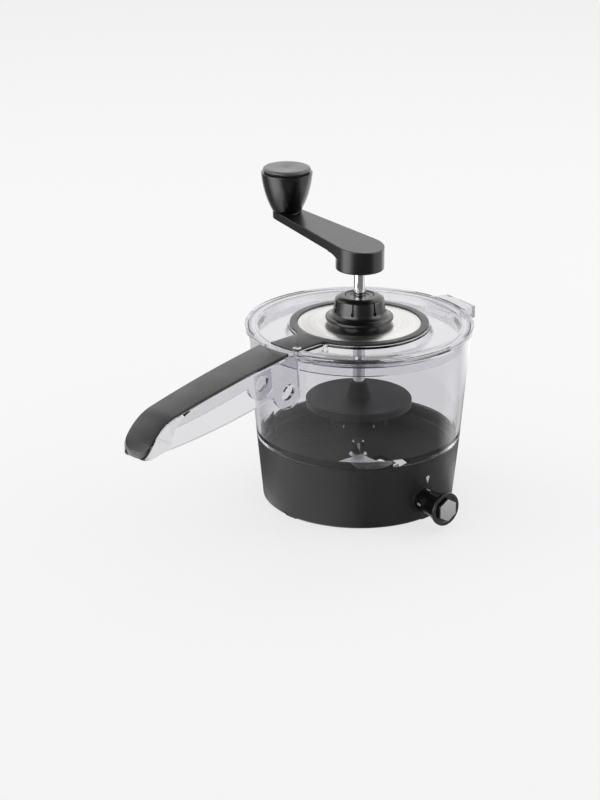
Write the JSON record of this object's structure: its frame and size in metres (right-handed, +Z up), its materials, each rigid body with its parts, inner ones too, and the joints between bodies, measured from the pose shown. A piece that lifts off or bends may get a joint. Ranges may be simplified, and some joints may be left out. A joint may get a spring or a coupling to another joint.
{
  "type": "hand cranked spiral potato cutter",
  "caption": "Hand cranked spiral cutter for potatoes: black base with blades and a side knob, clear container with a handle, clear lid, crank on a steel shaft.",
  "frame": {"origin": "centre of the base on the plane its feet stand on", "axes": "+Z up along the shaft, -X along the container's handle"},
  "size_m": [0.287, 0.1775, 0.21],
  "materials": {
    "black_moulding": "matt black moulded plastic",
    "black_gloss": "glossy black plastic",
    "dark_inlay": "satin dark grey plastic",
    "grey_inlay": "satin grey plastic",
    "clear_plastic": "clear moulded plastic",
    "bearing_plastic": "smooth bearing plastic",
    "white_mark": "white insert",
    "silver_mark": "silver print",
    "foot_rubber": "soft black rubber",
    "screw_steel": "stainless steel",
    "blade_steel": "ground stainless steel",
    "brushed_disc": "brushed stainless steel",
    "polished_steel": "polished stainless steel"
  },
  "bodies": {
    "base": {"base_ring": "black_moulding", "cutting_plate": "black_moulding", "plate_screws": "screw_steel", "main_blade": "blade_steel", "blade_screws": "screw_steel", "core_cutter": "blade_steel", "rotor_bush": "bearing_plastic", "rotor_end_bush": "bearing_plastic", "detent_spring": "blade_steel", "detent_screws": "screw_steel", "pointer_mark": "white_mark", "foot_pads": "foot_rubber"},
    "selector": {"knife_rotor": "black_moulding", "knife_row_fine": "blade_steel", "knife_row_medium": "blade_steel", "knife_row_wide": "blade_steel", "knife_row_extra": "blade_steel", "selector_knob": "black_gloss", "selector_inlay": "silver_mark", "selector_ticks": "silver_mark", "selector_screw": "screw_steel"},
    "container": {"container_body": "clear_plastic", "handle_inlay": "dark_inlay"},
    "lid": {"lid_shell": "clear_plastic", "lid_inlay": "dark_inlay", "lid_disc": "brushed_disc", "guide_collar": "black_gloss", "collar_nut": "black_moulding"},
    "sleeve": {"bearing_sleeve": "bearing_plastic", "sleeve_clip": "bearing_plastic", "friction_ring": "foot_rubber"},
    "crank": {"drive_shaft": "polished_steel", "holder_disc": "black_moulding", "holder_hub": "black_moulding", "holder_pins": "polished_steel", "centre_spike": "polished_steel", "crank_arm": "black_gloss", "knob_axle": "polished_steel", "knob_washer": "screw_steel", "knob_screw": "screw_steel"},
    "grip": {"crank_knob": "black_gloss", "knob_cap": "grey_inlay"}
  },
  "joints": [
    {"name": "selector_turn", "type": "hinge", "parent": "base", "child": "selector", "pos_m": [0, 0, 0.0156], "axis": [-0.1253, -0.9921, 0], "continuous": true, "deforming": ["detent_spring"]},
    {"name": "container_lift", "type": "slide", "parent": "base", "child": "container", "axis": [0, 0, 1], "range_m": [0, 0.06]},
    {"name": "lid_lift", "type": "slide", "parent": "container", "child": "lid", "axis": [0, 0, 1], "range_m": [0, 0.095]},
    {"name": "crank_turn", "type": "hinge", "parent": "lid", "child": "sleeve", "pos_m": [0, 0, 0.12], "axis": [0, 0, 1], "continuous": true},
    {"name": "shaft_slide", "type": "slide", "parent": "sleeve", "child": "crank", "axis": [0, 0, 1], "range_m": [-0.0175, 0.027]},
    {"name": "grip_turn", "type": "hinge", "parent": "crank", "child": "grip", "pos_m": [0.0057, 0.07087, 0.19], "axis": [0, 0, 1], "continuous": true}
  ]
}
